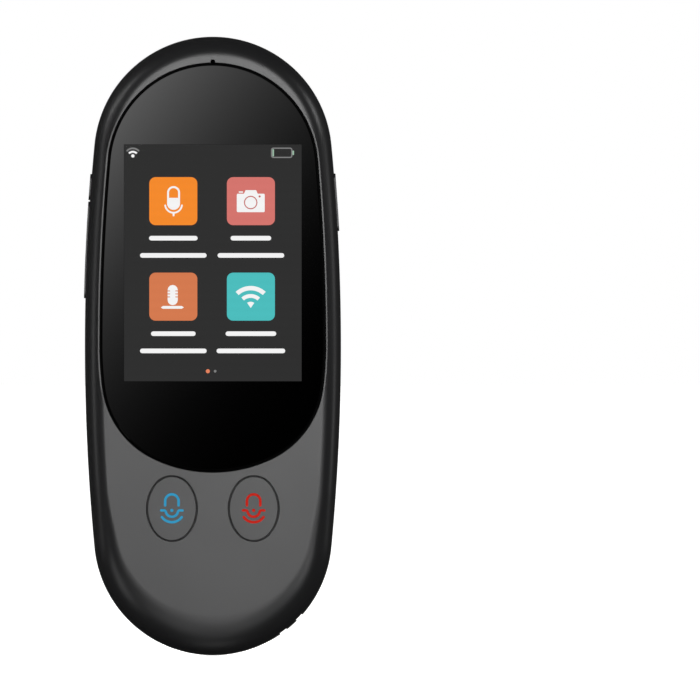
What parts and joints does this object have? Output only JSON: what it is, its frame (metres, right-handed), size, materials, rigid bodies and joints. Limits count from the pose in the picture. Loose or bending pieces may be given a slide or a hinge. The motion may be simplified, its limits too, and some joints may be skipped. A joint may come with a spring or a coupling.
{
  "type": "handheld translator",
  "caption": "Slim hand-held speech translator: round-ended body of two shells with a colour screen, talk keys, side keys, loudspeaker grille, rear camera and charging socket.",
  "frame": {"origin": "middle of the body: halfway along, across and through it", "axes": "+Z towards the loudspeaker end, +Y out of the back, so the screen faces -Y, and +X to the right of someone who looks at the screen"},
  "size_m": [0.0532, 0.013, 0.128],
  "materials": {
    "front_plastic": "satin painted polycarbonate, dark grey",
    "back_plastic": "satin painted polycarbonate, charcoal",
    "key_plastic": "satin moulded key, dark grey",
    "side_key_plastic": "satin black moulded key",
    "cover_glass": "polished cover glass with a black printed border",
    "screen_glass": "liquid crystal panel",
    "camera_glass": "polished cover disc",
    "lens_glass": "coated lens, green and teal glints",
    "ring_chrome": "polished chromium plate",
    "bracket_steel": "tinned and stainless sheet",
    "magnet_steel": "nickel plate",
    "battery_foil": "laminated aluminium pouch",
    "board_laminate": "glass-fibre laminate with green solder mask",
    "chip_plastic": "black moulding compound",
    "black_plastic": "black moulded plastic",
    "white_plastic": "natural moulded plastic",
    "amber_film": "amber polyimide film",
    "black_tape": "black adhesive film",
    "white_tape": "white adhesive film",
    "black_foam": "black cellular foam",
    "grey_silicone": "moulded silicone rubber",
    "speaker_film": "black film cone",
    "speaker_mesh": "black woven acoustic cloth"
  },
  "bodies": {
    "root": {"front_shell": "front_plastic", "back_shell": "back_plastic", "display_window": "cover_glass", "window_tape": "black_tape", "screen_seal": "black_foam", "screen_panel": "screen_glass", "screen_backlight": "white_plastic", "screen_bracket": "bracket_steel", "screen_flex": "amber_film", "screen_connector": "white_plastic", "main_board": "board_laminate", "board_screws": "bracket_steel", "processor_shield": "bracket_steel", "memory_chips": "chip_plastic", "battery_cell": "battery_foil", "battery_tape": "white_tape", "battery_plug": "white_plastic", "speaker_frame": "black_plastic", "speaker_cone": "speaker_film", "speaker_magnet": "magnet_steel", "speaker_ring": "black_foam", "speaker_cloth": "speaker_mesh", "camera_ring": "ring_chrome", "camera_window": "camera_glass", "camera_barrel": "black_plastic", "camera_lens": "lens_glass", "camera_module": "chip_plastic", "socket_shell": "bracket_steel", "socket_tongue": "black_plastic", "microphone": "bracket_steel", "microphone_boot": "grey_silicone", "key_pad": "grey_silicone", "key_domes": "bracket_steel", "side_switches": "white_plastic", "antenna_strip": "amber_film"},
    "talk_key_left": {"talk_key_left": "key_plastic"},
    "talk_key_right": {"talk_key_right": "key_plastic"},
    "function_key": {"function_key": "side_key_plastic"},
    "volume_rocker": {"volume_rocker": "side_key_plastic"},
    "power_key": {"power_key": "side_key_plastic"}
  },
  "joints": [
    {"name": "talk_key_left_press", "type": "slide", "parent": "root", "child": "talk_key_left", "axis": [0, 1, 0], "range_m": [0, 0.0003], "stiffness_N_per_m": 6400},
    {"name": "talk_key_right_press", "type": "slide", "parent": "root", "child": "talk_key_right", "axis": [0, 1, 0], "range_m": [0, 0.0003], "stiffness_N_per_m": 6400},
    {"name": "function_key_press", "type": "slide", "parent": "root", "child": "function_key", "axis": [1, 0, 0], "range_m": [0, 0.00025], "stiffness_N_per_m": 6400},
    {"name": "power_key_press", "type": "slide", "parent": "root", "child": "power_key", "axis": [-1, 0, 0], "range_m": [0, 0.00025], "stiffness_N_per_m": 6400},
    {"name": "volume_rocker_tilt", "type": "hinge", "parent": "root", "child": "volume_rocker", "pos_m": [-0.02485, -0.0004, 0.0199], "axis": [0, 1, 0], "range_deg": [-1.8, 1.8], "stiffness_Nm_per_rad": 0.33}
  ]
}
